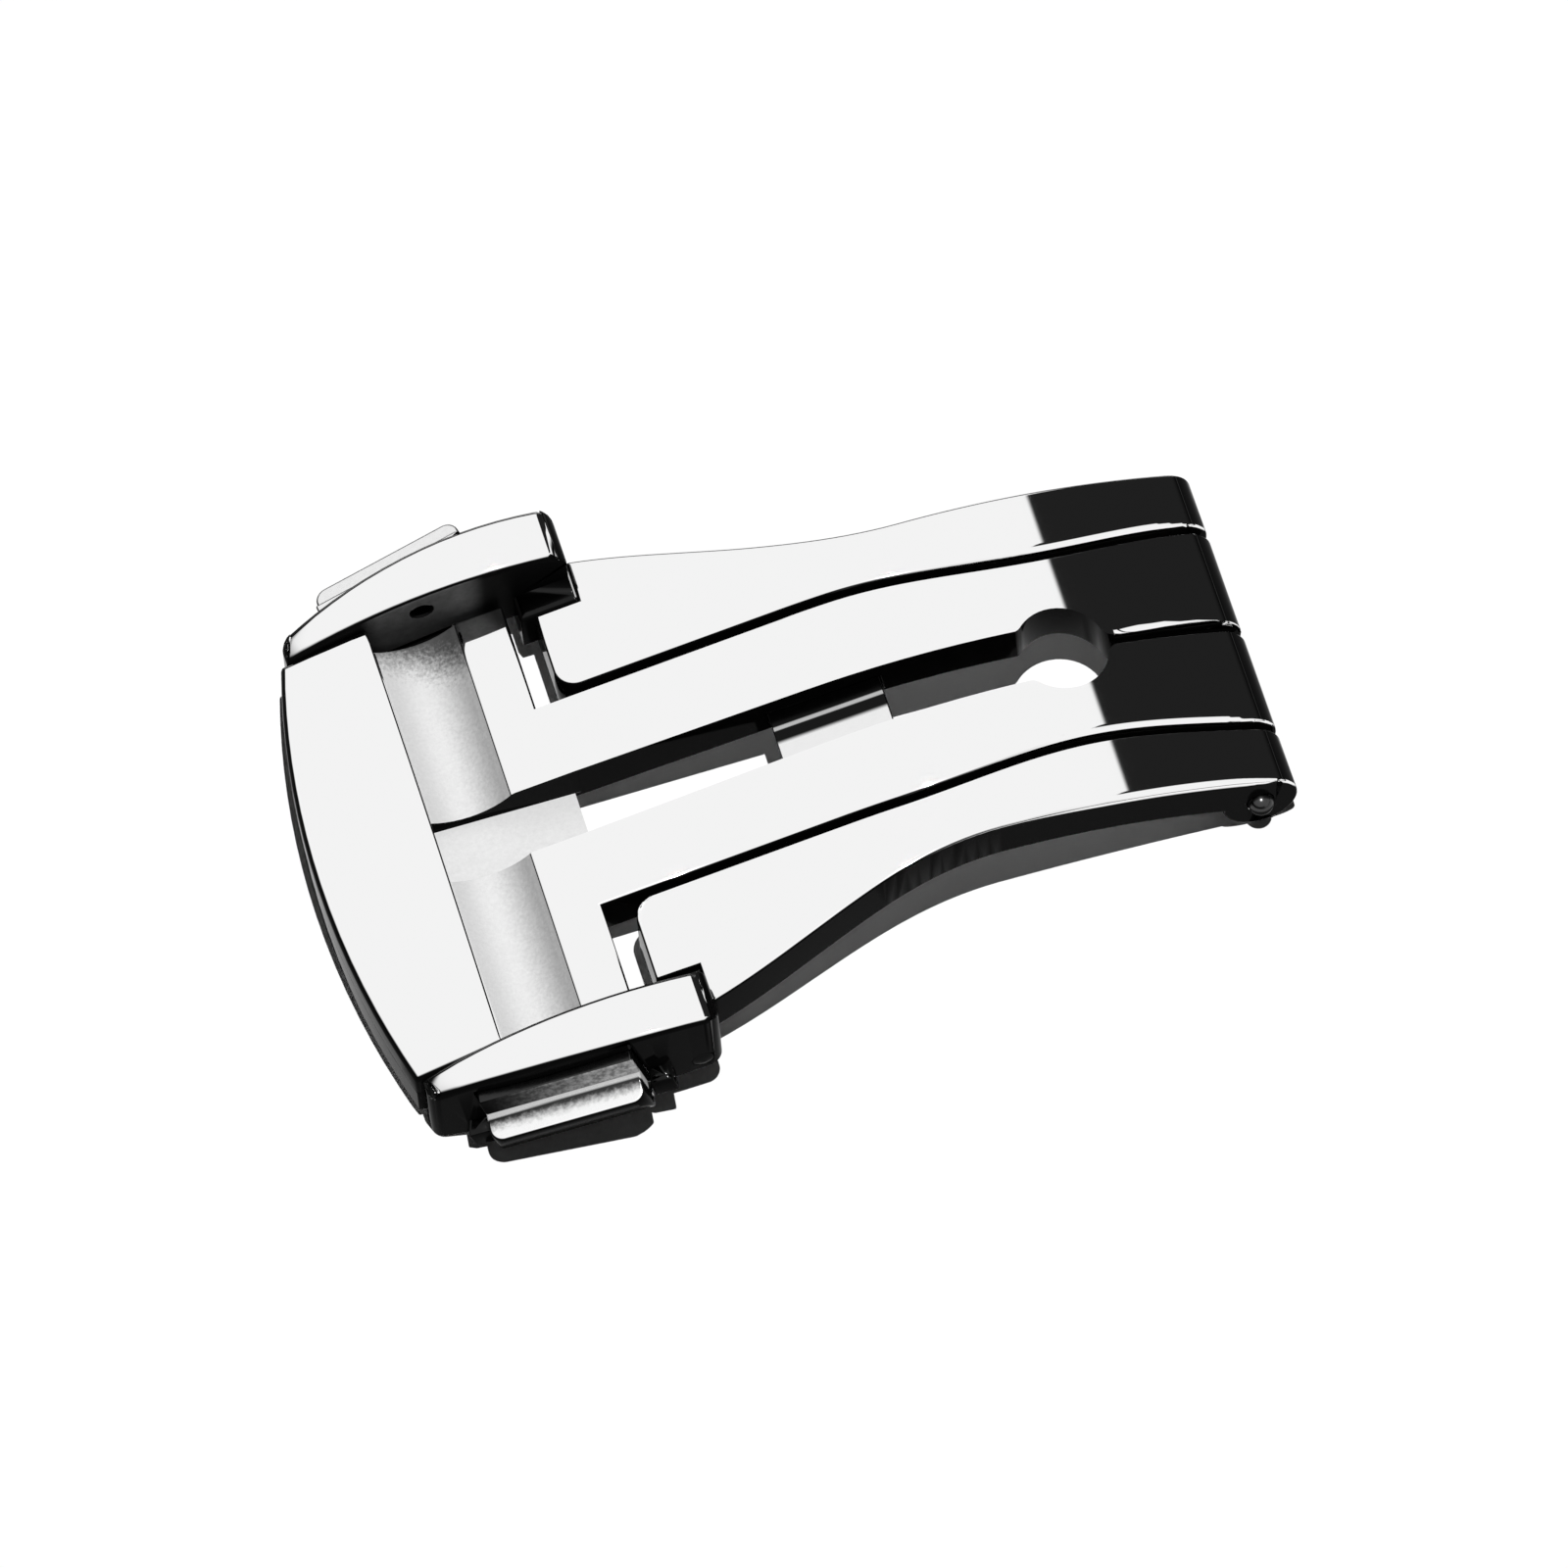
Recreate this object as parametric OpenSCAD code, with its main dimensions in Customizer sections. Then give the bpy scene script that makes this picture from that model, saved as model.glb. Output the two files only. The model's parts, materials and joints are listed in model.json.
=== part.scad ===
// Deployant clasp for an 18 mm strap, closed, all sizes in millimetres.
// X runs from the head to the hinge, Y across the strap, Z up from the table.
// Inside the modules x = 0 is the hinge axis, and place() shifts the whole to its origin.

/* [Leaf arch] */
// Radius of the leaves' polished top
arch_r = 29; // [27:0.5:32]
// Distance from the hinge axis to the top of the arch
arch_run = 10.7; // [10:0.1:11.5]
// Thickness of both leaves
leaf_t = 2; // [1.8:0.05:2.3]
// Fall of the straight part behind the arch, in degrees
ramp_fall = 8.9; // [7:0.1:10]

/* [Hinge] */
// Radius of the hinge barrel
barrel_r = 1.45; // [1.3:0.05:1.7]
// Radius of the hinge pin
pin_r = 0.5; // [0.4:0.05:0.6]
// Radial running clearance of the pin in the inner knuckles
pin_run = 0.03; // [0.02:0.01:0.06]
// How far each domed pin end stands out
pin_end = 0.5; // [0.3:0.05:0.6]

/* [Leaf outlines] */
// Gap between the inner and the outer blades
blade_gap = 0.36; // [0.3:0.02:0.5]
// Half width to the middle of that gap, at the crossbar
root_half = 4.56; // [4.3:0.02:4.9]
// Half width to the middle of that gap, at the waist
waist_half = 4.05; // [3.8:0.05:4.2]
// Half width to the middle of that gap, at the hinge
knuckle_half = 4.4; // [4.2:0.05:4.8]
// Distance from the hinge axis to the waist
waist_run = 5.4; // [4.8:0.1:6]
// How far the outer blades flare past the lugs' inner walls
flare_out = 1; // [0.6:0.1:1.2]
// Half width of the outer blades where they are slimmest
slim_half = 6.8; // [6.6:0.05:7]
// Half width of the outer blades at the hinge
end_half = 6.9; // [6.8:0.05:7.2]

/* [Crosshead of the inner leaf] */
// Gap between each end of the crosshead and the lug beside it
tee_gap = 0.2; // [0.15:0.05:0.5]
// Distance from the hinge axis to the crosshead's hidden end
tee_run = 31.2; // [30.9:0.1:31.4]
// Distance from the hinge axis to the crosshead's edge towards the hinge
bar_run = 24.85; // [24.6:0.05:25]
// Length of the raised bar at that edge
bar_l = 2.15; // [1.8:0.05:2.2]
// Length of the scooped channel
channel_l = 3.2; // [2.8:0.1:3.4]
// Depth of the scooped channel
channel_d = 0.55; // [0.4:0.05:0.65]
// Height of the centre groove's floor
groove_z = 1.6; // [1.45:0.05:1.7]

/* [Centre slot] */
// Width of the slot at the crosshead
slot_w = 2.6; // [2.2:0.05:2.8]
// Width of the slot at the keyhole
slot_end_w = 2.14; // [1.8:0.02:2.2]
// Distance from the hinge axis to the slot's end wall
slot_run = 24.3; // [24.1:0.05:24.5]
// Radius of the keyhole
keyhole_r = 1.75; // [1.6:0.05:1.9]
// Distance from the hinge axis to the keyhole
keyhole_run = 5.56; // [5.4:0.02:5.8]
// Width of the slit between the inner knuckles
slit_w = 0.4; // [0.3:0.02:0.5]
// Radius of the keyhole's four lips
lip_r = 0.5; // [0.3:0.05:0.6]
// Distance from the hinge axis to the web that ties the inner blades
web_run = 12.2; // [11.6:0.1:12.6]
// Length of the web
web_l = 4.4; // [3.6:0.1:5]
// Thickness of the web
web_t = 1; // [0.8:0.05:1.2]
// How far the web is let into each inner blade
web_seat = 0.35; // [0.2:0.05:0.5]

/* [Head] */
// Clear width between the lugs, for the strap
strap_w = 18.4; // [18.3:0.1:18.8]
// Height of the lugs above the table
lug_top = 5.45; // [5.35:0.05:5.7]
// Radius of the lugs' arched top
lug_r = 16.2; // [15.5:0.1:17]
// Radius of the round at the lugs' rear end, seen from the side
lug_end_r = 0.8; // [0.5:0.1:1]
// Height of the head's underside beside the blades
lug_under = 1.95; // [1.8:0.05:2]
// Distance from the hinge axis to the lugs' end beside the blades
lug_run = 22.15; // [22.1:0.05:22.3]
// Distance from the hinge axis to the lugs' pointed front
tip_run = 33.2; // [33.1:0.05:33.4]
// Thickness of each lug where it is widest
lug_t = 2.2; // [2.1:0.05:2.4]
// Radius of the lugs' outer side, seen from above
side_r = 36; // [33:1:42]
// Radius of the lugs' outer corners, seen from above
corner_r = 0.6; // [0.4:0.1:0.8]
// Distance from the hinge axis to the foremost point of the bowed front
bow_run = 34.7; // [34.5:0.05:34.8]
// Thickness of the front wall
wall_t = 1.5; // [1.2:0.1:1.7]
// Height of the front wall
wall_h = 2.4; // [2.2:0.05:2.6]
// Height of the front plate's rear edge, at its middle
plate_top = 4.45; // [4.35:0.05:4.6]
// Length of the front plate along its middle
plate_l = 4.65; // [4.6:0.05:4.8]
// Fall of the front plate, in degrees
plate_fall = 17.5; // [16.5:0.1:18]
// Thickness of the front plate
plate_t = 1; // [0.85:0.05:1.1]
// Radius of the front plate's crosswise dome
plate_dome_r = 94; // [80:1:120]

/* [Spring bar holes] */
// Radius of each blind hole
bar_hole_r = 0.45; // [0.4:0.05:0.5]
// Depth of each blind hole
bar_hole_d = 0.8; // [0.6:0.05:0.85]
// Distance from the hinge axis to the holes
bar_hole_run = 27.86; // [27.7:0.02:28.1]
// Height of the holes
bar_hole_z = 4.04; // [4:0.01:4.1]

/* [Push buttons] */
// Length of each button
button_l = 6; // [5.8:0.1:6.2]
// Height of each button
button_h = 2.24; // [2.2:0.02:2.3]
// Travel of each button
travel = 0.5; // [0.4:0.05:0.55]
// Clearance round each button in its window
button_fit = 0.08; // [0.06:0.01:0.1]
// How far the finger lip stands out of the lug
lip_out = 1.44; // [1.3:0.02:1.6]
// Radius of the lip's corners, seen from above
lip_corner_r = 0.5; // [0.3:0.1:0.6]
// Thickness of the finger lip
lip_t = 0.43; // [0.35:0.02:0.5]
// Distance from the hinge axis to the buttons
button_run = 28.35; // [28.25:0.01:28.45]
// Radius of the retaining pins
stay_r = 0.2; // [0.18:0.01:0.22]
// Outer radius of the button springs
coil_r = 0.38; // [0.34:0.01:0.4]
// Wire diameter of the button springs
wire_d = 0.14; // [0.12:0.01:0.16]
// Turns of each button spring
coil_turns = 3; // [2:1:3]

/* [Rivets] */
// Radius of the rivets that join the blades to the head
rivet_r = 0.4; // [0.35:0.05:0.45]
// How far each rivet head stands out
rivet_out = 0.08; // [0.04:0.02:0.2]
// Radius of the screws under the front plate
screw_r = 0.4; // [0.35:0.05:0.5]

/* [Hidden] */
near = -1;
far = 1;
span = 60;         // longer than any piece, for cutting tools
fit = 0.05;        // gap between seated pieces of the outer leaf
nose_gap = 0.07;   // catch noses stay this far outside the crosshead
round_fn = 96;
big_fn = 240;

// Side view of the leaves: an arc from the barrel, then a straight ramp
arch_z = barrel_r - sqrt(pow(arch_r - barrel_r, 2) - pow(arch_run, 2));
hinge_turn = asin(arch_run / (arch_r - barrel_r));
ramp_x = -arch_run - arch_r * sin(ramp_fall);
ramp_z = arch_z + arch_r * cos(ramp_fall);
function ramp_top(x) = ramp_z + (x - ramp_x) * tan(ramp_fall);

web_rise = ramp_fall - 1.3;
web_lift = 0.15;   // height of the web's lower corner above the leaf's underside

// Widths that follow the strap
wall_y = strap_w / 2;
tee_half = wall_y - tee_gap;
lug_half = wall_y + lug_t;
flare_half = wall_y + flare_out;

// Plan outlines, as half widths along x
function ease(t) = (1 - cos(180 * min(max(t, 0), 1))) / 2;
function blend(x, x0, x1, a, b) = a + (b - a) * ease((x - x0) / (x1 - x0));
dip_x = -13.4;     // where the inner blades begin to narrow
flare_x = -25.6;   // where the outer blades are widest
slim_x = -10;      // where the outer blades are slimmest
function gap_mid(x) = x < -waist_run
  ? blend(x, dip_x, -waist_run, root_half, waist_half)
  : blend(x, -waist_run, barrel_r, waist_half, knuckle_half);
function outer_half(x) = x < slim_x
  ? blend(x, flare_x, slim_x, flare_half, slim_half)
  : slim_half + (end_half - slim_half) * (x - slim_x) / (barrel_r - slim_x);
function steps(x0, x1, n) = [for (i = [0:n]) x0 + (x1 - x0) * i / n];

// Lug outlines: arched top, hollow underside and curved outer side
lug_x = -24.6;
lug_z = lug_top - lug_r;
under_x = -20;
under_r = (pow(tip_run + under_x, 2) + pow(lug_under, 2)) / (2 * lug_under);
side_x = -24;
side_y = lug_half - side_r;
function lug_z_at(x) = lug_z + sqrt(pow(lug_r, 2) - pow(x - lug_x, 2));
function side_y_at(x) = side_y + sqrt(pow(side_r, 2) - pow(x - side_x, 2));

// Bow of the front edge, through the foremost point and both lug fronts
bow_back = bow_run - tip_run - 0.25;
bow_r = (pow(wall_y, 2) + pow(bow_back, 2)) / (2 * bow_back);
plate_x = -bow_run + plate_l;

// Buttons lie in a frame that follows the lug: tilted with its top, turned with its side
button_x = -button_run;
button_tilt = asin((lug_x - button_x) / lug_r);
button_turn = asin((side_x - button_x) / side_r);
button_top_drop = 0.96;
button_z = lug_z_at(button_x) - button_top_drop - button_h / 2;
skin_y = side_y_at(button_x);
floor_p = -0.95;                              // pocket's floor, measured out of the lug's side
back_p = floor_p + travel + fit;              // back of the button
jaw_p = 0.9;                                  // foot of the button's lower jaw
jaw_dz = -1.82;
lip_dz = -0.04;                               // top of the finger lip
stay_run = 0.03;                              // radial clearance of the button's slotted hole
spring_p = 0.1;                               // bottom of the springs' blind holes
spring_dx = 2.05;
spring_dz = -0.45;
ear_l = 0.9;                                  // ears beside the button, which hold its pin
ear_p = 0.5;
ear_in = 0.55;                                // root in the lug, clear of the spring bar holes
ear_h = 0.85;
stay_p = 0.15;
stay_dz = -1.3;
stay_l = button_l + 2 * (button_fit + ear_l) - 0.4;
catch_l = 2.6;
catch_t = 0.45;
catch_y = wall_y + travel + fit;              // inner face of the catch's plate
stem_dz = [-1.45, -1];                        // lower and upper side of its stem
nose_y = tee_half + nose_gap;
nose_h = 0.45;
nose_dz = -1.66;

// Screws from the front wall's underside into the front plate
wall_z = plate_top - plate_l * tan(plate_fall) - wall_h;
screw_x = -32.7;
screw_half = 0.6 * wall_y;
screw_top = 2.85;
screw_head_r = 0.65;
screw_head_h = 0.4;

// Rivet between the lug foot and the blade's corner
foot_w = 1.05;
foot_y = wall_y - foot_w;
notch_y = foot_y - fit;
foot_l = 2.2;
rivet_in = 1.25;                              // depth of the rivet in the blade
rivet_x = -lug_run - 0.85;
rivet_z = ramp_top(rivet_x) - leaf_t / 2;
blade_x = -bar_run + 1.05;                    // the blades' end beside the crossbar
blade_corner_r = 0.85;

module place() translate([(bow_run - barrel_r) / 2, 0, 0]) children();

// Extrudes a drawing made in x and z across y, centred
module across(w) rotate([90, 0, 0]) linear_extrude(w, center = true) children();

// Mirrors the far side's drawing to the near side
module on_side(side) mirror([0, side == near ? 1 : 0, 0]) children();

// Side view of a leaf, of thickness t with its underside at depth d below the top
module leaf_band(d, t) {
  translate([-arch_run, arch_z]) rotate(ramp_fall) {
    intersection() {
      difference() {
        circle(arch_r - d + t, $fn = big_fn);
        circle(arch_r - d, $fn = big_fn);
      }
      polygon([[0, 0], [0, span], span * [sin(hinge_turn + ramp_fall), cos(hinge_turn + ramp_fall)]]);
    }
    translate([-span / 2, arch_r - d]) square([span / 2, t]);
  }
}

module leaf_side() {
  leaf_band(leaf_t, leaf_t);
  translate([0, barrel_r]) circle(barrel_r, $fn = round_fn);
}

// Rounds the corner where the keyhole meets a slot edge at height h, towards dir and side
module lip(h, dir, side) {
  reach = sqrt(pow(keyhole_r + lip_r, 2) - pow(h + lip_r, 2));
  inside = sqrt(pow(keyhole_r, 2) - pow(h, 2)) - 0.15;
  k = (keyhole_r - 0.02) / (keyhole_r + lip_r);
  start = 180 + atan2(h + lip_r, reach);
  arc = [for (i = [1:7]) let (a = start + (270 - start) * i / 8) [reach + lip_r * cos(a), h + lip_r + lip_r * sin(a)]];
  points = concat([[inside, h - 0.15], [k * reach, k * (h + lip_r)]], arc, [[reach, h - 0.005], [reach, h - 0.15]]);
  translate([-keyhole_run, 0, -1]) linear_extrude(10) polygon([for (p = points) [dir * p[0], side * p[1]]]);
}

module slot_cut() {
  translate([0, 0, -1]) linear_extrude(10) polygon([
    [-slot_run, -slot_w / 2], [-keyhole_run, -slot_end_w / 2],
    [-keyhole_run, slot_end_w / 2], [-slot_run, slot_w / 2]
  ]);
  translate([-keyhole_run, 0, -1]) cylinder(h = 10, r = keyhole_r, $fn = round_fn);
  translate([-keyhole_run, -slit_w / 2, -1]) cube([keyhole_run + 2 * barrel_r, slit_w, 10]);
  for (side = [near, far]) {
    lip(slot_end_w / 2, -1, side);
    lip(slit_w / 2, 1, side);
  }
}

// Half outline of the inner leaf, from the crosshead to the knuckle, for one side
function inner_edge(side) = concat(
  [[-tee_run, side * tee_half], [-bar_run, side * tee_half]],
  [for (x = steps(-bar_run, 2 * barrel_r, 52)) [x, side * (gap_mid(x) - blade_gap / 2)]]
);

module inner_plan() {
  edge = inner_edge(far);
  back = inner_edge(near);
  polygon(concat(edge, [for (i = [len(back) - 1:-1:0]) back[i]]));
}

module web_solid() across(slot_w + 2 * web_seat)
  translate([-web_run - web_l, ramp_top(-web_run - web_l) - leaf_t + web_lift]) rotate(web_rise) square([web_l, web_t]);

// Frame of the catch, tilted with the lug's top
module in_catch_frame() translate([button_x, 0, button_z]) rotate([0, -button_tilt, 0]) children();

// Frame of the button on the lug's side: local y runs straight out of the side
module in_button_frame() in_catch_frame() translate([0, skin_y, 0]) rotate([0, 0, button_turn]) children();

module inner_frame() color("gainsboro") place() difference() {
  intersection() {
    translate([0, 0, -1]) linear_extrude(10) inner_plan();
    across(span) leaf_side();
  }
  slot_cut();
  // scooped channel
  channel_r = (pow(channel_l / 2, 2) + pow(channel_d, 2)) / (2 * channel_d);
  channel_x = -bar_run - bar_l - channel_l / 2;
  translate([channel_x, 0, ramp_top(channel_x) - channel_d + channel_r])
    rotate([90, 0, 0]) cylinder(h = span, r = channel_r, center = true, $fn = round_fn);
  // centre groove, level with the slot and open towards it
  translate([-tee_run - 1, -slot_w / 2, groove_z]) cube([tee_run - slot_run + 1.2, slot_w, 5]);
  web_solid();
  translate([0, 0, barrel_r]) rotate([90, 0, 0])
    cylinder(h = span, r = pin_r + pin_run, center = true, $fn = round_fn);
  // pockets in both ends, opposite the catches
  for (side = [near, far]) on_side(side) in_catch_frame()
    translate([-catch_l / 2 - 0.3, tee_half - 0.9, nose_dz - 0.2]) cube([catch_l + 0.6, 2, nose_h + 0.4]);
}

module slot_web() color("silver") place() web_solid();

module outer_plan() {
  xs = steps(blade_x, 2 * barrel_r, 56);
  y0 = gap_mid(blade_x) + blade_gap / 2;
  difference() {
    polygon(concat(
      [for (x = xs) [x, gap_mid(x) + blade_gap / 2]],
      [for (i = [len(xs) - 1:-1:0]) [xs[i], outer_half(xs[i])]]
    ));
    // rounded corner beside the crossbar
    difference() {
      translate([blade_x - 1, y0 - 1]) square(blade_corner_r + 1);
      translate([blade_x + blade_corner_r, y0 + blade_corner_r]) circle(blade_corner_r, $fn = 48);
    }
    // notch round the lug foot, with a rounded inner corner
    translate([-span, notch_y]) square([span - lug_run + fit, span]);
  }
}

module outer_blade(side) color("gainsboro") place() on_side(side) difference() {
  intersection() {
    translate([0, 0, -1]) linear_extrude(10) outer_plan();
    across(span) leaf_side();
  }
  translate([0, 0, barrel_r]) rotate([90, 0, 0]) cylinder(h = span, r = pin_r, center = true, $fn = round_fn);
  translate([rivet_x, notch_y - rivet_in, rivet_z]) rotate([-90, 0, 0]) cylinder(h = 5, r = rivet_r, $fn = 48);
}

// Cuts the corner between the upright line at x and the inside of the circle at (cx, cy) with
// radius big_r, to a round of radius r; dir points from the drawing to the line
module corner_cut(x, dir, r, cx, cy, big_r) {
  seat = 0.002;      // the round overlaps the arc by this much, so that the two cross
  px = x - dir * r;
  py = cy + sqrt(pow(big_r - r, 2) - pow(px - cx, 2)) + seat;
  reach = 3 * r;
  difference() {
    polygon([[px, py], [px + dir * reach, py], [px + dir * reach, py + reach],
      [px + reach * (px - cx) / big_r, py + reach * (py - cy) / big_r]]);
    translate([px, py]) circle(r, $fn = 48);
  }
}

module lug_plan() difference() {
  intersection() {
    translate([-tip_run, wall_y]) square([tip_run - lug_run, lug_half]);
    translate([side_x, side_y]) circle(side_r, $fn = big_fn);
  }
  corner_cut(-tip_run, -1, corner_r, side_x, side_y, side_r);
  corner_cut(-lug_run, 1, corner_r, side_x, side_y, side_r);
}

module lug_profile() intersection() {
  translate([lug_x, lug_z]) circle(lug_r, $fn = big_fn);
  difference() {
    translate([-tip_run, 0]) square([tip_run - lug_run, 2 * lug_top]);
    translate([under_x, lug_under - under_r]) circle(under_r, $fn = big_fn);
    corner_cut(-lug_run, 1, lug_end_r, lug_x, lug_z, lug_r);
  }
}

module button_cuts() {
  in_button_frame() {
    // pocket for the button, open below
    translate([-button_l / 2 - button_fit, floor_p, -4])
      cube([button_l + 2 * button_fit, 4, 4 + button_h / 2 + button_fit]);
    // hole of the retaining pin, drilled from the hinge side
    translate([-stay_l / 2, stay_p, stay_dz]) rotate([0, 90, 0]) cylinder(h = stay_l + 1, r = stay_r, $fn = 32);
  }
  // slot for the catch, open below
  in_catch_frame() translate([-catch_l / 2 - 0.2, wall_y - 1, -4])
    cube([catch_l + 0.4, skin_y - wall_y + 0.6, 4.1 + stem_dz[1]]);
}

module lug(side) on_side(side) difference() {
  union() {
    intersection() {
      linear_extrude(10) lug_plan();
      across(span) lug_profile();
    }
    // foot between the crossbar and the blade
    intersection() {
      translate([-lug_run - foot_l, foot_y, 0]) cube([foot_l, wall_y - foot_y + 0.2, 10]);
      across(span) leaf_band(leaf_t, leaf_t - 0.1);
    }
    // ears that hold the button's pin
    in_button_frame() for (x = [-button_l / 2 - button_fit - ear_l, button_l / 2 + button_fit])
      translate([x, -ear_in, stay_dz - ear_h / 2]) cube([ear_l, ear_in + ear_p, ear_h]);
  }
  button_cuts();
  translate([-bar_hole_run, wall_y - 1, bar_hole_z]) rotate([-90, 0, 0])
    cylinder(h = bar_hole_d + 1, r = bar_hole_r, $fn = 48);
  translate([rivet_x, 0, rivet_z]) rotate([90, 0, 0])
    cylinder(h = span, r = rivet_r, center = true, $fn = 48);
}

module bow_plan(back) intersection() {
  translate([-bow_run + bow_r, 0]) circle(bow_r, $fn = big_fn);
  translate([-bow_run - 1, -wall_y]) square([back + 1, 2 * wall_y]);
}

// Slab under the domed top of the front plate, from depth d down
module under_dome(d) translate([plate_x, 0, plate_top]) rotate([0, -plate_fall, 0])
  translate([0, 0, -plate_dome_r]) rotate([0, 90, 0])
    cylinder(h = span, r = plate_dome_r - d, center = true, $fn = big_fn);

module screw_solid() for (side = [near, far]) translate([screw_x, side * screw_half, wall_z]) {
  cylinder(h = screw_top - wall_z, r = screw_r, $fn = 32);
  cylinder(h = screw_head_h, r = screw_head_r, $fn = 32);
}

module head_body() color("gainsboro") place() {
  difference() {
    union() {
      lug(near);
      lug(far);
      // bowed front wall, under the plate
      intersection() {
        translate([0, 0, wall_z]) linear_extrude(wall_h) bow_plan(bow_run - tip_run + wall_t);
        under_dome(plate_t);
      }
    }
    screw_solid();
  }
}

module front_plate() color("whitesmoke") place() difference() {
  intersection() {
    linear_extrude(10) bow_plan(plate_l);
    difference() {
      under_dome(0);
      under_dome(plate_t);
    }
  }
  screw_solid();
}

module plate_screws() color("silver") place() difference() {
  screw_solid();
  // driver slots
  for (side = [near, far]) translate([screw_x - 1, side * screw_half - 0.1, wall_z - 1]) cube([2, 0.2, 1.18]);
}

// Domed end of a pin of radius r, standing out by h along z
module dome(r, h) intersection() {
  ball = (pow(r, 2) + pow(h, 2)) / (2 * h);
  translate([0, 0, h - ball]) sphere(ball, $fn = 64);
  translate([0, 0, -0.1]) cylinder(h = h + 0.2, r = r, $fn = 48);
}

module hinge_pin() color("silver") place() translate([0, 0, barrel_r]) {
  rotate([90, 0, 0]) cylinder(h = 2 * end_half, r = pin_r, center = true, $fn = 48);
  for (side = [near, far]) translate([0, side * end_half, 0]) rotate([-side * 90, 0, 0]) dome(pin_r, pin_end);
}

module blade_rivet(side) color("silver") place() on_side(side) translate([rivet_x, 0, rivet_z]) rotate([-90, 0, 0]) {
  skin = side_y_at(rivet_x);
  translate([0, 0, notch_y - rivet_in]) cylinder(h = skin - notch_y + rivet_in, r = rivet_r, $fn = 48);
  translate([0, 0, skin]) dome(rivet_r, rivet_out);
}

// Button profile in p, out of the lug's side, and z
module button_profile() polygon([
  [back_p, jaw_dz], [jaw_p, jaw_dz], [lip_out, lip_dz - lip_t], [lip_out, lip_dz],
  [0.37, 0.14], [0.3, button_h / 2], [back_p, button_h / 2]
]);

// Extrudes a drawing made in y and z along x, centred
module along(l) rotate([90, 0, 90]) linear_extrude(l, center = true) children();

// Plan of a button with rounded outer corners
module button_plan() difference() {
  translate([-button_l / 2, back_p]) square([button_l, lip_out - back_p]);
  for (dir = [-1, 1]) difference() {
    translate([dir * button_l / 2, lip_out]) square(2 * lip_corner_r, center = true);
    translate([dir * (button_l / 2 - lip_corner_r), lip_out - lip_corner_r]) circle(lip_corner_r, $fn = 48);
  }
}

module button(side) color("darkgray") place() on_side(side) in_button_frame() difference() {
  intersection() {
    along(button_l) button_profile();
    translate([0, 0, jaw_dz - 1]) linear_extrude(button_h - jaw_dz + 1) button_plan();
  }
  for (dir = [-1, 1]) translate([dir * spring_dx, back_p - 1, spring_dz]) rotate([-90, 0, 0])
    cylinder(h = spring_p - back_p + 1, r = coil_r + 0.06, $fn = 32);
  // slotted hole round the retaining pin, as long as the travel
  for (dy = [0, travel]) translate([0, stay_p + dy, stay_dz]) rotate([0, 90, 0])
    cylinder(h = span, r = stay_r + stay_run, center = true, $fn = 32);
  translate([-span / 2, stay_p, stay_dz - stay_r - stay_run]) cube([span, travel, 2 * (stay_r + stay_run)]);
}

module catch(side) color("dimgray") place() on_side(side) intersection() {
  in_catch_frame() along(catch_l) polygon([
    [nose_y, nose_dz], [catch_y + catch_t, nose_dz], [catch_y + catch_t, stem_dz[0]], [skin_y, stem_dz[0]],
    [skin_y, stem_dz[1]], [catch_y, stem_dz[1]], [catch_y, nose_dz + nose_h], [nose_y, nose_dz + nose_h]
  ]);
  in_button_frame() translate([-5, back_p - 5, -5]) cube([10, 5, 10]);
}

module button_pin(side) color("silver") place() on_side(side) in_button_frame()
  translate([-stay_l / 2, stay_p, stay_dz]) rotate([0, 90, 0]) cylinder(h = stay_l, r = stay_r, $fn = 32);

// Tube round a helix, from y0 to y1, as one closed polyhedron
module coil(y0, y1) {
  n = coil_turns * 14;
  m = 6;
  r = coil_r - wire_d / 2;
  w = wire_d / 2;
  pitch = y1 - y0 - wire_d;
  points = [for (i = [0:n], j = [0:m - 1])
    let (a = 360 * coil_turns * i / n, b = 360 * j / m, q = r + w * cos(b))
      [q * cos(a), y0 + w + pitch * i / n + w * sin(b), q * sin(a)]];
  sides = [for (i = [0:n - 1], j = [0:m - 1]) let (k = (j + 1) % m) each [
    [i * m + j, i * m + k, (i + 1) * m + j], [i * m + k, (i + 1) * m + k, (i + 1) * m + j]]];
  caps = [[for (j = [m - 1:-1:0]) j], [for (j = [0:m - 1]) n * m + j]];
  polyhedron(points, concat(sides, caps));
}

module button_springs(side) color("silver") place() on_side(side) in_button_frame()
  for (dir = [-1, 1]) translate([dir * spring_dx, 0, spring_dz]) coil(floor_p, spring_p);

inner_frame();
slot_web();
outer_blade(near);  // outer_blade_near
outer_blade(far);  // outer_blade_far
head_body();
front_plate();
plate_screws();
hinge_pin();
blade_rivet(near);  // blade_rivet_near
blade_rivet(far);  // blade_rivet_far
button(near);  // button_near
button(far);  // button_far
catch(near);  // catch_near
catch(far);  // catch_far
button_pin(near);  // button_pin_near
button_pin(far);  // button_pin_far
button_springs(near);  // button_springs_near
button_springs(far);  // button_springs_far
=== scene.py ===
import json
import math

import bmesh
import bpy
from mathutils import Matrix, Vector
from mathutils.bvhtree import BVHTree

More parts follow.
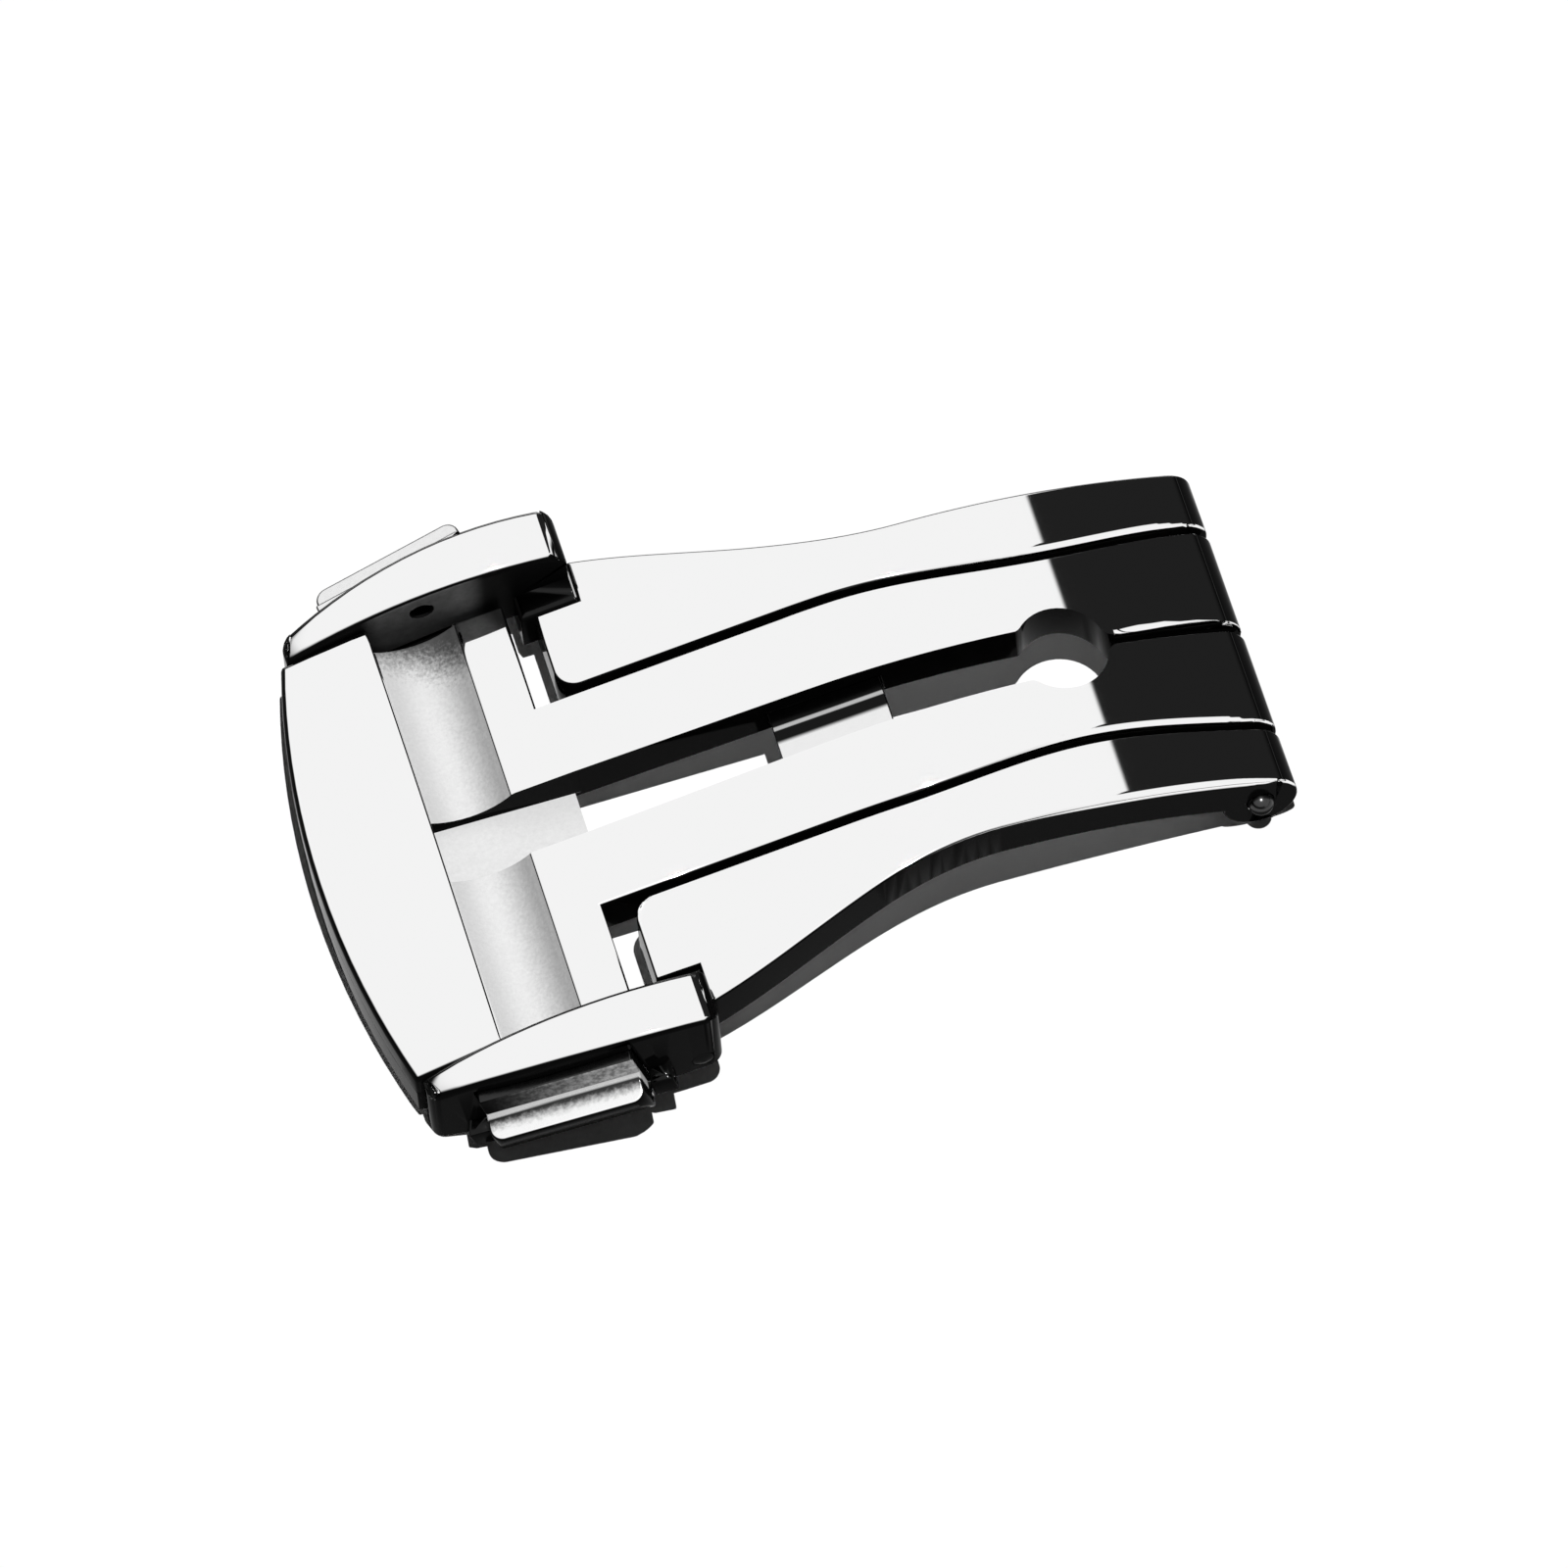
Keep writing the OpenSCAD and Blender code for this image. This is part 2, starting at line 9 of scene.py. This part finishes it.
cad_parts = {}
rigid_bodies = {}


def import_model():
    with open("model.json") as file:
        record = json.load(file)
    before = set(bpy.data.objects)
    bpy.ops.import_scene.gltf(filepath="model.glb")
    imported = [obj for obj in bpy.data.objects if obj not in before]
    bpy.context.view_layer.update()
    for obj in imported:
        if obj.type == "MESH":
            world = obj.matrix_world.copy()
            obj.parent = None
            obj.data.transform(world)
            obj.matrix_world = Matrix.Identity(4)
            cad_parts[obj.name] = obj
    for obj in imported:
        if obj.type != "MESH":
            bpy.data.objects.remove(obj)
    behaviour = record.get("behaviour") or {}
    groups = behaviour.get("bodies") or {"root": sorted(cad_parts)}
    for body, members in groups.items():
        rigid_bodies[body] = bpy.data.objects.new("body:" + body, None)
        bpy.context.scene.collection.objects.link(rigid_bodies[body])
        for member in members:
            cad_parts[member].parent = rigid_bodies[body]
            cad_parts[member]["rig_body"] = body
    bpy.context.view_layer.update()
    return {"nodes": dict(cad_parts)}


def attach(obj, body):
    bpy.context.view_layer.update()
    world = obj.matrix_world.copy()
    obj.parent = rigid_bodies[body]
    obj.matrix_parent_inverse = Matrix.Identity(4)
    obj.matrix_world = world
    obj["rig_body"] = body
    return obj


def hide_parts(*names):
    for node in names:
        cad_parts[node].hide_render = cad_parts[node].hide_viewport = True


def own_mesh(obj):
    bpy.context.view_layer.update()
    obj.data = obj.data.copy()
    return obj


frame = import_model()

mm = 0.001
hingeX = 16.625  # mm, the hinge axis; sizes along the clasp are given from it


# shader expressions

class Tap:
    def __init__(self, tree, socket=None):
        self.tree, self.socket = tree, socket

    def node(self, kind, settings=None, sockets=None, out=0):
        made = self.tree.nodes.new(kind)
        for key, value in (settings or {}).items():
            setattr(made, key, value)
        for key, value in (sockets or {}).items():
            if isinstance(value, Tap):
                self.tree.links.new(value.socket, made.inputs[key])
            else:
                made.inputs[key].default_value = value
        return Tap(self.tree, made.outputs[out] if made.outputs else None)

    def maths(self, operation, first, second=0.0):
        return self.node("ShaderNodeMath", {"operation": operation}, {0: first, 1: second})

    def __add__(self, other): return self.maths("ADD", self, other)
    def __radd__(self, other): return self.maths("ADD", other, self)
    def __sub__(self, other): return self.maths("SUBTRACT", self, other)
    def __rsub__(self, other): return self.maths("SUBTRACT", other, self)
    def __mul__(self, other): return self.maths("MULTIPLY", self, other)
    def __rmul__(self, other): return self.maths("MULTIPLY", other, self)

    def size(self):
        return self.maths("ABSOLUTE", self)

    def atLeast(self, other):
        return self.maths("MAXIMUM", self, other)

    def step(self, low, high):  # smooth, from 0 at low to 1 at high
        return self.node("ShaderNodeMapRange", {"interpolation_type": "SMOOTHSTEP"},
                         {"Value": self, "From Min": low, "From Max": high})

    def within(self, low, high, blur):  # 1 between low and high
        return self.step(low - blur, low) * (1 - self.step(high, high + blur))

    def parts(self):  # x, y and z of a vector
        return [self.node("ShaderNodeSeparateXYZ", None, {0: self}, out=i) for i in range(3)]

    def grey(self, dark, light):  # a colour between two greys
        return self.node("ShaderNodeMix", {"data_type": "RGBA"},
                         {0: self, 6: (dark, dark, dark, 1), 7: (light, light, light, 1)}, out=2)


def newTree(owner):
    owner.use_nodes = True
    owner.node_tree.nodes.clear()
    return Tap(owner.node_tree)


# steel finishes

finishes = {  # base greys (dark is the painted near-black of walls and shaded places, light the rest), roughness, share of the mottling, its grain per metre, bump and metal
    "mirrorSteel": {"light": 0.9, "dark": 0.003, "roughness": 0.03, "mottle": 0.0, "grain": 900},
    "satinSteel": {
        "light": 0.8, "dark": 0.01, "roughness": 0.42,
        "mottle": 0.22, "grain": 7000, "bump": 0.25, "metal": 0.2,
    },
    "grooveSteel": {
        "light": 0.75, "dark": 0.003, "roughness": 0.5,
        "mottle": 0.22, "grain": 6000, "bump": 0.15, "metal": 0.3,
    },
    "brushedWall": {"light": 0.12, "dark": 0.003, "roughness": 0.4, "mottle": 0.6, "grain": 2500, "bump": 0.2},
    # painted shade: near-black steel for the feet and ears
    "footPaintedShade": {"light": 0.02, "dark": 0.004, "roughness": 0.15, "mottle": 0.4, "grain": 2500, "bump": 0.1},
    "buttonSteel": {"light": 0.9, "dark": 0.003, "roughness": 0.22, "mottle": 0.15, "grain": 5200, "bump": 0.15},
    "webSteel": {"light": 0.85, "dark": 0.01, "roughness": 0.2, "mottle": 0.1, "grain": 2600},
    # painted shade: near-black for the inside of the spring-bar hole
    "borePaintedShade": {"light": 0.006, "dark": 0.003, "roughness": 0.5, "mottle": 0.2, "grain": 2500, "metal": 0.0},
    # painted reflection: near-black steel for the pins, catches, springs and other small pieces
    "pinPaintedDarkReflection": {"light": 0.06, "dark": 0.008, "roughness": 0.2, "mottle": 0.1, "grain": 3000},
}
stripStart = (hingeX - 6.5) * mm  # towards the hinge, the edges that look to the near side stay bright metal instead of being painted dark
stripFade = 7 * mm
wallShine = 0.008  # what is left of the reflection on upright walls
undersideShade = 0.5
button = {  # its middle on the lug's side, and the directions outwards and along it
    "x": (hingeX - 28.35) * mm, "y": 11.136 * mm, "z": 2.9 * mm,
    "out": (-0.1175, 0.9927, -0.028), "along": (0.9657, 0.1208, 0.2298),
    "ridgeZ": 3.074 * mm, "ridgeSlope": 0.238,  # top of the finger lip, where it meets the face
}


def paintedDarkWallTone(where, noise, topNotPaintedDark):
    # painted reflection: walls get the near-black grey, tops and undersides the light one
    return topNotPaintedDark


def channelPaintedShadeAndReflection(where, noise, topNotPaintedDark):  # painted shade darker to the right, and a painted reflection of the dark lug wall darkening the far end
    x, y, z = where
    # painted shade: darker towards the channel's right edge
    right = (x + (noise - 0.5) * (0.8 * mm)).step((hingeX - 28.45) * mm, (hingeX - 26.65) * mm)
    # painted reflection: darker at the far end, under the lug
    end = (y + (noise - 0.5) * (2 * mm) + (x - (hingeX - 28.55) * mm) * 0.5).step(7.2 * mm, 9.2 * mm)
    return (1 - 0.38 * right) * (1 - 0.85 * end)


def wallPaintedLight(where, noise, topNotPaintedDark):  # painted light on the lugs' inner walls beside the channel: a lit patch that is lighter towards the top
    x, y, z = where
    # painted light: a lit patch along the wall
    paintedLitPatch = x.within((hingeX - 29.4) * mm, (hingeX - 26.2) * mm, 0.9 * mm)
    return paintedLitPatch * (0.45 + 0.55 * z.step(2.9 * mm, 4.5 * mm))


def fromButton(where, direction):  # distance from the button's middle, the same for both buttons
    x, y, z = where
    sizes = (x - button["x"], y.size() - button["y"], z - button["z"])
    return sizes[0] * direction[0] + sizes[1] * direction[1] + sizes[2] * direction[2]


def buttonPaintedLight(where, noise, topNotPaintedDark):  # painted light: a painted dark reflection beside the lug, then a painted highlight on the ridge and a lip painted light
    x, y, z = where
    out, along = fromButton(where, button["out"]), fromButton(where, button["along"])
    aboveRidge = z - (x - button["x"]) * button["ridgeSlope"] - button["ridgeZ"]
    farSide = y.step(0, mm)
    # painted light: the lip lightens outwards to white, and on the far button it covers every top
    lip = (out + (noise - 0.5) * (0.4 * mm)).step(0.6 * mm, 1.15 * mm).atLeast(farSide)
    face = (1 - topNotPaintedDark) * out.step(0.2 * mm, 0.25 * mm) * (1 - out.step(0.5 * mm, 0.6 * mm))
    # painted reflection: the band beside the lug is a dark grey, with brushed grain
    brushedAndPaintedDark = (0.2 + 0.4 * noise.step(0.3, 0.75)) * along.step(-3 * mm, 2.8 * mm)
    # painted highlights along the button's right edge and along the ridge
    paintedEdgeHighlight = 0.5 * along.step(2.8 * mm, 2.86 * mm)
    paintedRidgeHighlight = 0.7 * (1 - aboveRidge.step(0.03 * mm, 0.1 * mm)).atLeast(paintedEdgeHighlight)
    return (topNotPaintedDark * (0.04 + 0.96 * lip)).atLeast(face * (0.9 * brushedAndPaintedDark).atLeast(paintedRidgeHighlight))


def webPaintedReflection(where, noise, topNotPaintedDark):  # painted reflection: bright on the near half, dark on the far half, with a thin painted highlight line on the dark half
    x, y, z = where
    # painted highlight: a thin line on the dark half
    paintedHighlightLine = 0.6 * y.within(0.45 * mm, 0.55 * mm, 0.06 * mm)
    return topNotPaintedDark * (1 - y.step(-0.2 * mm, 0)).atLeast(paintedHighlightLine)


# the painted light, painted shade and painted reflections of each finish
paintedLightTones = {"satinSteel": channelPaintedShadeAndReflection, "brushedWall": wallPaintedLight, "buttonSteel": buttonPaintedLight, "webSteel": webPaintedReflection}


def makeSteel(name, light, dark, roughness, mottle, grain, bump=0.0, metal=1.0):
    material = bpy.data.materials.new(name)
    tap = newTree(material)
    place = tap.node("ShaderNodeTexCoord", out=3)
    where = place.parts()
    sideways, upward = tap.node("ShaderNodeTexCoord", out=1).parts()[1:]
    noise = tap.node(
        "ShaderNodeTexNoise", None, {"Vector": place, "Scale": grain, "Detail": 3.0, "Roughness": 0.6})
    nearHinge = where[0].step(stripStart - stripFade, stripStart)
    strip = (-1 * sideways).step(0.1, 0.2) * nearHinge * upward.step(0.2, 0.35)
    topNotPaintedDark = upward.size().step(0.76, 0.88).atLeast(strip)  # 1 on tops and undersides, 0 on walls, which are painted near-black as a painted dark reflection
    underside = (-1 * upward).step(0.3, 0.6)
    tone = paintedLightTones.get(name, paintedDarkWallTone)(where, noise, topNotPaintedDark) * (1 - undersideShade * underside)
    shader = {
        "Base Color": (tone * (1 - mottle * noise)).grey(dark, light),
        # painted walls are made non-metal, so their painted near-black shows
        "Metallic": topNotPaintedDark.step(0, 0.12) * metal,
        "Roughness": roughness + (noise - 0.5) * (roughness * 0.4),
        "Specular IOR Level": wallShine,
    }
    if bump:
        height = {"Strength": bump, "Distance": 0.02 * mm, "Height": noise}
        shader["Normal"] = tap.node("ShaderNodeBump", None, height)
    surface = tap.node("ShaderNodeBsdfPrincipled", None, shader)
    tap.node("ShaderNodeOutputMaterial", None, {"Surface": surface})
    return material


steels = {name: makeSteel(name, **values) for name, values in finishes.items()}
print("finishes made:", len(steels))


# rounded copies of the CAD pieces

rounding = {  # widths in mm of the rounded edges; strip is for those at the hinge that look to the near side
    "inner_frame": {"top": 0.12, "other": 0.1, "strip": 0.36},
    "outer_blade_near": {"top": 0.12, "other": 0.1, "strip": 0.36},
    "outer_blade_far": {"top": 0.12, "other": 0.1, "strip": 0.36},
    "head_body": {"top": 0.26, "other": 0.06},
    "front_plate": {"top": 0.24, "other": 0.12},
    "button_near": {"top": 0.1, "other": 0.08},
    "button_far": {"top": 0.1, "other": 0.08},
    "catch_near": {"top": 0.04, "other": 0.04},
    "catch_far": {"top": 0.04, "other": 0.04},
    "slot_web": {"top": 0.06, "other": 0.06},
}
widest = 0.4
farEdge = {"outer": 0.12, "inner": 0.04, "from": 6}  # the leaves' edges that look to the far side
hingeStrip = {"from": -9, "full": -6, "fadeFrom": -0.6, "to": 0.6}
sharpFrom, flatWithin = math.radians(32), math.radians(0.4)
mergeWithin, overshoot = 0.0004 * mm, 0.003 * mm
level, aside, sloping = 0.7, 0.5, 0.3  # how much of a normal has to lie along an axis
hair = 0.01  # mm, places closer than this count as one

# places on the CAD part, in mm from the hinge axis
arch = {"x": -10.7, "z": -23.937, "radius": 29, "thickness": 2}
ramp = {"x": -15.187, "z": 4.714, "slope": 0.1566}  # straight stretch towards the head
barrel = {"start": 0.563, "radius": 1.45, "clear": 1.3}
channel = {"left": -30.25, "right": -26.95, "depth": 0.03, "wall": 0.15, "low": 1}
groove = {"half": 1.35, "top": 1.75, "right": -24.0}
slot = {"right": -3.2, "half": 1.9}
barHole = {"x": -27.86, "z": 4.04, "rim": 0.6, "radius": 0.5, "from": 9.21, "to": 10.1}
lug = {"wall": 9.2, "topFrom": 2.75, "end": -22.6}
foot = {"left": -25, "pocketLeft": -32.5, "pocketTop": 3.15, "pocketFrom": 10.3}


def leafTop(x):  # height of the leaves' top
    if x < ramp["x"]:
        return ramp["z"] + (x - ramp["x"]) * ramp["slope"]
    if x < barrel["start"]:
        return arch["z"] + math.sqrt(arch["radius"] ** 2 - (x - arch["x"]) ** 2)
    return barrel["radius"] + math.sqrt(max(barrel["radius"] ** 2 - x ** 2, 0))


def onRamp(x, z):
    return (x - arch["x"]) / (z - arch["z"]) < -ramp["slope"]


def leafNormal(x, z):
    if onRamp(x, z):
        return Vector((-ramp["slope"], 0, 1)).normalized()
    if x < barrel["start"]:
        return Vector((x - arch["x"], 0, z - arch["z"])).normalized()
    return Vector((x, 0, z - barrel["radius"])).normalized()


def leafDepth(x, z):  # distance from the leaves' top, square to it
    if onRamp(x, z):
        return (ramp["z"] + (x - ramp["x"]) * ramp["slope"] - z) / math.hypot(1, ramp["slope"])
    return arch["radius"] - math.hypot(x - arch["x"], z - arch["z"])


def ramped(value, low, high):  # straight, from 0 at low to 1 at high
    return min(max((value - low) / (high - low), 0), 1)


def fromBarHole(x, z):
    return math.hypot(x - barHole["x"], z - barHole["z"])


def edgeWidth(node, widths, middle, normals):
    x, y, z = middle.x / mm - hingeX, middle.y / mm, middle.z / mm
    if node in ("head_body", "front_plate") and min(normal.z for normal in normals) < -level:
        return 0  # crisp along the bottom, whose outline shows
    if max(normal.z for normal in normals) < level:
        return widths["other"]
    if node == "head_body" and (z < lug["topFrom"] or x > lug["end"]):
        return widths["other"]
    if node == "inner_frame" and x < slot["right"] and abs(y) < slot["half"]:
        return 0  # crisp along the slot and round the keyhole, whose arcs are too short to round
    if node == "head_body" and fromBarHole(x, z) < barHole["rim"]:
        return 0
    if node == "front_plate" and max(normal.x for normal in normals) > aside:
        return widths["other"]
    if "strip" in widths and min(normal.y for normal in normals) < -aside:
        share = ramped(x, hingeStrip["from"], hingeStrip["full"])
        share *= 1 - ramped(x, hingeStrip["fadeFrom"], hingeStrip["to"])
        return widths["top"] + share * (widths["strip"] - widths["top"])
    if "strip" in widths and max(normal.y for normal in normals) > aside:
        return farEdge["outer" if y > farEdge["from"] else "inner"]
    return widths["top"]


def finishOf(node, centre, normal):
    x, y, z = centre.x / mm - hingeX, abs(centre.y / mm), centre.z / mm
    if node == "inner_frame":
        if x < groove["right"] and y < groove["half"] and z < groove["top"] and normal.z > aside:
            return "grooveSteel"
        scooped = channel["low"] < z < leafTop(x) - channel["depth"]
        if channel["left"] < x < channel["right"] and normal.z > aside and scooped:
            return "satinSteel"
        leftward = normal.x < -sloping and abs(normal.y) < aside and normal.z > -0.1
        if abs(x - channel["right"]) < channel["wall"] and leftward:
            return "satinSteel"
    if node == "head_body":
        # painted shade: the spring-bar hole is made near-black
        if fromBarHole(x, z) < barHole["radius"] and barHole["from"] < y < barHole["to"]:
            return "borePaintedShade"
        # painted shade: the feet and the pocket round the ears are made near-black
        onFoot = y < lug["wall"] - hair and x > foot["left"]
        inPocket = x > foot["pocketLeft"] and z < foot["pocketTop"] and y > foot["pocketFrom"]
        if onFoot or inPocket:
            return "footPaintedShade"
        if abs(y - lug["wall"]) < 2 * hair and abs(normal.y) > 0.9:
            return "brushedWall"
    if node.startswith("button"):
        return "buttonSteel"
    if node.startswith("catch"):
        return "pinPaintedDarkReflection"
    return "webSteel" if node == "slot_web" else "mirrorSteel"


def pullIn(mesh, source, reach):  # corner points that the bevel threw off go back to the CAD surface
    corners = [vertex.co for vertex in source.vertices]
    tree = BVHTree.FromPolygons(corners, [polygon.vertices for polygon in source.polygons])
    low, high = ([pick(corner[i] for corner in corners) for i in range(3)] for pick in (min, max))
    moved = 0
    for vertex in mesh.vertices:
        spot, normal, index, distance = tree.find_nearest(vertex.co)
        outside = (vertex.co - spot).dot(normal) > 0 or any(
            not low[i] <= vertex.co[i] <= high[i] for i in range(3))
        if distance > (overshoot if outside else reach):
            vertex.co = spot
            moved += 1
    return moved


def smoothLeaf(mesh):  # exact normals on the arched faces, so that reflections run straight across them
    turned = [corner.vector.copy() for corner in mesh.corner_normals]
    for polygon in mesh.polygons:
        for index in polygon.loop_indices:
            spot = mesh.vertices[mesh.loops[index].vertex_index].co
            x, z = spot.x / mm - hingeX, spot.z / mm
            onTop = x < barrel["clear"] and abs(z - leafTop(x)) < hair
            below = x < -barrel["clear"] and abs(leafDepth(x, z) - arch["thickness"]) < hair
            if polygon.normal.z > sloping and onTop:
                turned[index] = leafNormal(x, z)
            if polygon.normal.z < -sloping and below:
                turned[index] = -leafNormal(x, z)
    mesh.normals_split_custom_set(turned)


def roundedCopy(node, widths):
    source = frame["nodes"][node]
    mesh = source.data.copy()
    form = bmesh.new()
    form.from_mesh(mesh)
    bmesh.ops.remove_doubles(form, verts=form.verts, dist=mergeWithin)
    bmesh.ops.dissolve_limit(form, angle_limit=flatWithin, verts=form.verts, edges=form.edges)
    share = form.edges.layers.float.new("bevel_weight_edge")
    for edge in form.edges:
        if len(edge.link_faces) == 2 and edge.calc_face_angle() > sharpFrom:
            middle = (edge.verts[0].co + edge.verts[1].co) / 2
            width = edgeWidth(node, widths, middle, [face.normal for face in edge.link_faces])
            edge[share] = width / widest if edge.is_convex else 0
            edge.smooth = edge.is_convex and width > 0
    for face in form.faces:
        face.smooth = True
    form.to_mesh(mesh)
    form.free()
    piece = bpy.data.objects.new(node + "_rounded", mesh)
    bpy.context.scene.collection.objects.link(piece)
    bevel = piece.modifiers.new("edge", "BEVEL")
    bevel.width, bevel.segments, bevel.limit_method = widest * mm, 3, "WEIGHT"
    bevel.use_clamp_overlap, bevel.harden_normals, bevel.miter_outer = False, False, "MITER_SHARP"
    even = piece.modifiers.new("even", "WEIGHTED_NORMAL")
    even.keep_sharp, even.weight = True, 100
    bpy.context.view_layer.update()
    baked = bpy.data.meshes.new_from_object(piece.evaluated_get(bpy.context.evaluated_depsgraph_get()))
    piece.modifiers.clear()
    moved = pullIn(baked, source.data, 0.5 * max(widths.values()) * mm)
    print(node, "corner points pulled in:", moved)
    piece.data = baked
    piece.data.materials.clear()
    order = []
    for polygon in piece.data.polygons:
        polygon.use_smooth = True
        name = finishOf(node, polygon.center, polygon.normal)
        if name not in order:
            order.append(name)
            piece.data.materials.append(steels[name])
        polygon.material_index = order.index(name)
    if "strip" in widths:
        smoothLeaf(piece.data)
    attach(piece, source["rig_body"])
    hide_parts(node)
    return piece


for node, widths in rounding.items():
    roundedCopy(node, widths)
print("rounded pieces:", len(rounding))

pressAxis = {
    "near": Vector((0.11755, 0.99267, 0.02797)),
    "far": Vector((0.11755, -0.99267, 0.02797)),
}


def shorteningSprings(side):  # a copy of the springs with a mesh of its own, on the springs' body
    node, axis = "button_springs_" + side, pressAxis[side].normalized()
    source = frame["nodes"][node]
    coils = bpy.data.objects.new(node + "_coils", source.data.copy())
    bpy.context.scene.collection.objects.link(coils)
    coils.data.materials.clear()
    coils.data.materials.append(steels["pinPaintedDarkReflection"])
    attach(coils, source["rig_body"])
    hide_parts(node)
    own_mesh(coils)


for side in pressAxis:
    shorteningSprings(side)
print("springs:", len(pressAxis))

# painted reflection: every other small piece gets the near-black pin steel
for node, thing in frame["nodes"].items():
    if node not in rounding:
        thing.data.materials.clear()
        thing.data.materials.append(steels["pinPaintedDarkReflection"])
print("small pieces finished")


# floor, light and camera

studio = {
    "sunStrength": 3.3, "sunFrom": (0.05, -0.14, 1.0), "sunAngle": 0.6,
    "ambient": 0.028, "floor": 0.95, "floorSize": 0.9, "floorZ": -0.01 * mm,
    "dim": 0.015, "glow": 0.98, "high": (0.3, 0.42), "middle": (-0.05, 0.05),
    "darkFrom": (0.44, 0.45), "frontFrom": (0.2, 0.35), "frontLow": (0.05, 0.12),
}


def makeFloor():
    bpy.ops.mesh.primitive_circle_add(
        vertices=96, radius=studio["floorSize"], fill_type="NGON", location=(0, 0, studio["floorZ"]))
    floor = bpy.context.object
    floor.name = "floor"
    material = bpy.data.materials.new("paper")
    tap = newTree(material)
    white = (studio["floor"],) * 3 + (1,)
    paper = tap.node("ShaderNodeBsdfDiffuse", None, {"Color": white})
    tap.node("ShaderNodeOutputMaterial", None, {"Surface": paper})
    floor.data.materials.append(material)


def makeSky():  # bright above; beyond the hinge, a dark card on the far side and a low bright one on the near
    world = bpy.data.worlds.new("studioSky")
    bpy.context.scene.world = world
    tap = newTree(world)
    toward = tap.node("ShaderNodeTexCoord", out=0)
    x, y, z = toward.parts()
    seen = tap.node("ShaderNodeLightPath", out=0)
    mirrored = tap.node("ShaderNodeLightPath", out=3)
    farSide = y.step(*studio["middle"])
    darkCard = x.step(*studio["darkFrom"]) * farSide
    frontCard = x.step(*studio["frontFrom"]) * (1 - farSide) * z.step(*studio["frontLow"])
    bright = (z.step(*studio["high"]) * (1 - darkCard)).atLeast(frontCard)
    reflected = mirrored * (studio["dim"] + bright * studio["glow"])
    colour = seen + (1 - seen) * (reflected + (1 - mirrored) * studio["ambient"])  # white behind the clasp
    sky = tap.node("ShaderNodeBackground", None, {"Color": colour.grey(0.0, 1.0), "Strength": 1.0})
    tap.node("ShaderNodeOutputWorld", None, {"Surface": sky})


def makeSun():
    lamp = bpy.data.lights.new("softSun", "SUN")
    lamp.energy, lamp.angle = studio["sunStrength"], math.radians(studio["sunAngle"])
    sun = bpy.data.objects.new("softSun", lamp)
    sun.rotation_euler = Vector(studio["sunFrom"]).to_track_quat("Z", "Y").to_euler()
    bpy.context.scene.collection.objects.link(sun)


viewpoint = {  # fitted to the photograph's outline, in degrees and metres
    "azimuth": -11.746, "elevation": 61.36, "roll": -5.467, "distance": 0.74,
    "target": (0.000125, 0.0, 0.0025), "lens": 454.617, "shift": (0.00016, -0.01895),
}


def makeCamera():
    turn, rise, roll = (math.radians(viewpoint[key]) for key in ("azimuth", "elevation", "roll"))
    back = Vector((math.sin(turn) * math.cos(rise), -math.cos(turn) * math.cos(rise), math.sin(rise)))
    right = Vector((math.cos(turn), math.sin(turn), 0))
    up = back.cross(right)
    rolledRight = right * math.cos(roll) + up * math.sin(roll)
    rolledUp = up * math.cos(roll) - right * math.sin(roll)
    lens = bpy.data.cameras.new("camera")
    lens.lens, lens.sensor_width, lens.sensor_fit = viewpoint["lens"], 36, "AUTO"
    lens.shift_x, lens.shift_y = viewpoint["shift"]
    lens.clip_start, lens.clip_end = 0.01, 20
    camera = bpy.data.objects.new("camera", lens)
    place = Matrix((rolledRight, rolledUp, back)).transposed().to_4x4()
    place.translation = Vector(viewpoint["target"]) + back * viewpoint["distance"]
    camera.matrix_world = place
    bpy.context.scene.collection.objects.link(camera)
    bpy.context.scene.camera = camera


makeFloor()
makeSky()
makeSun()
makeCamera()
bpy.context.scene.view_settings.view_transform = "Standard"
print("studio ready")
